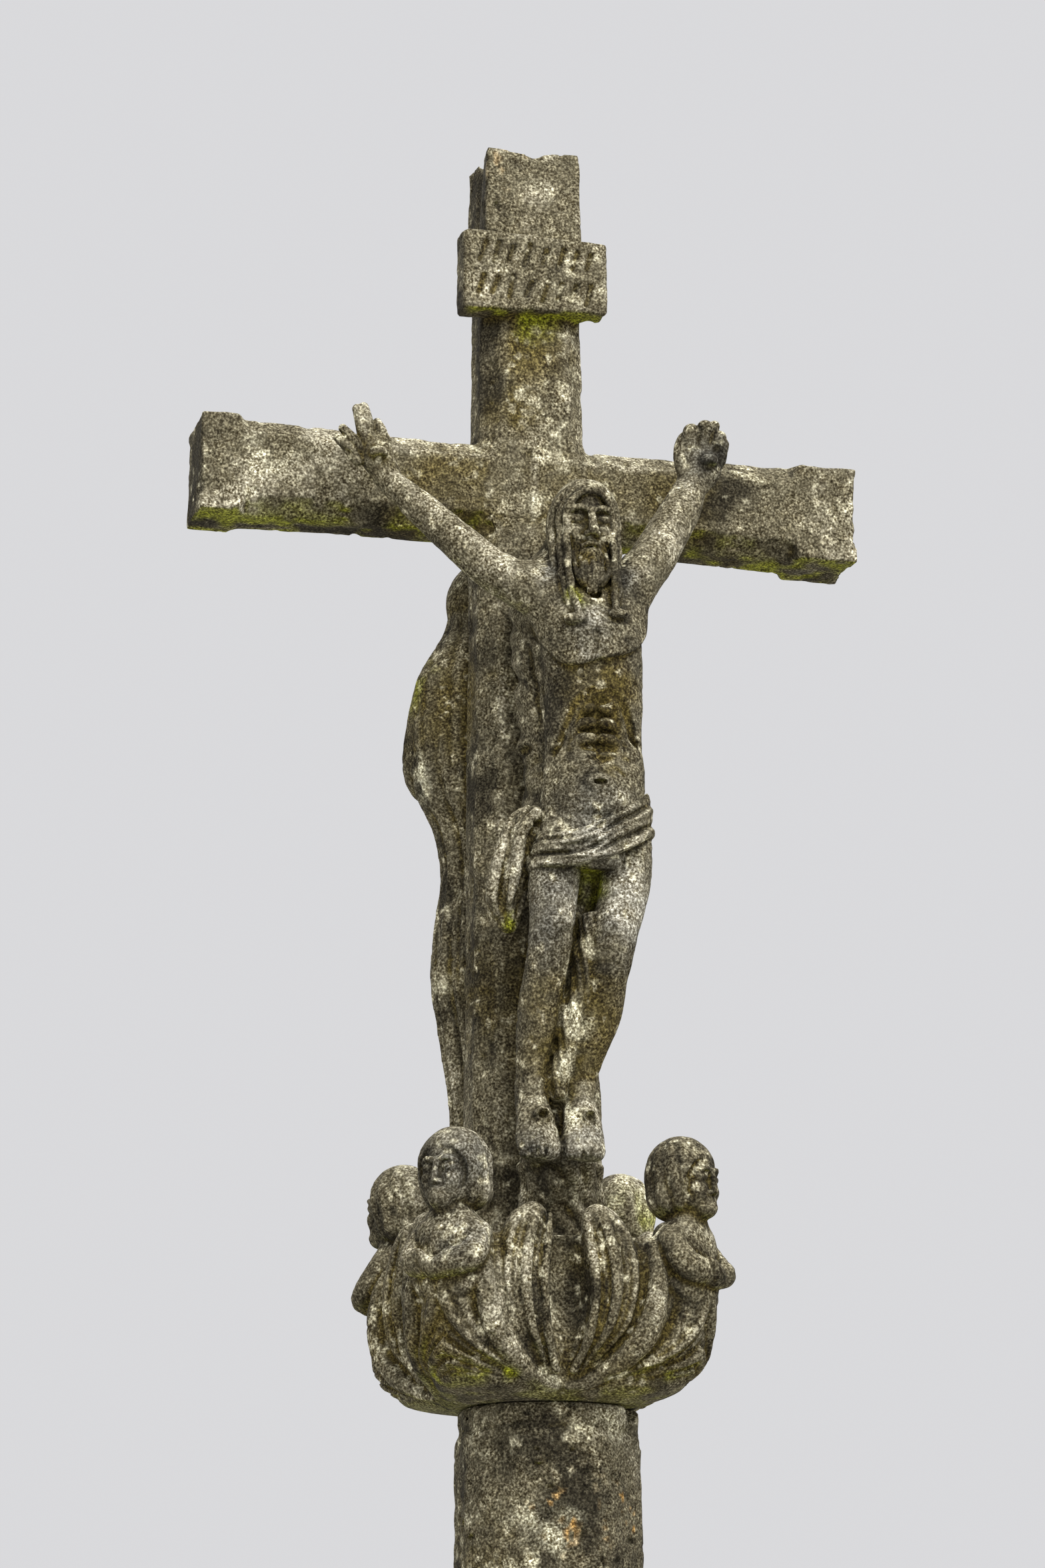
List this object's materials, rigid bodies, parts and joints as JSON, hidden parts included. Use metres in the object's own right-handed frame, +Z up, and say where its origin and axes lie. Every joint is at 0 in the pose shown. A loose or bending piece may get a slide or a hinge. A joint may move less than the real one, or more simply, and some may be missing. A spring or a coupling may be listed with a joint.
{
  "type": "wayside cross",
  "caption": "Free-standing granite monument: steps, plinth and octagonal shaft carry a capital of angel busts and wings and a cross with a crucified figure in front and a robed figure behind.",
  "frame": {"origin": "centre of the lowest step's underside, on the ground", "axes": "+Z up, -Y the side the crucified figure faces, X along the arms of the cross"},
  "size_m": [1.2, 1.2, 3.6709],
  "materials": {
    "weathered_granite": "rough, pitted, lichen-covered",
    "base_granite": "rough, pitted, lichen-covered"
  },
  "bodies": {
    "root": {"lower_step": "base_granite", "upper_step": "base_granite", "plinth": "base_granite", "shaft": "weathered_granite", "capital": "weathered_granite", "cross": "weathered_granite"}
  },
  "joints": []
}
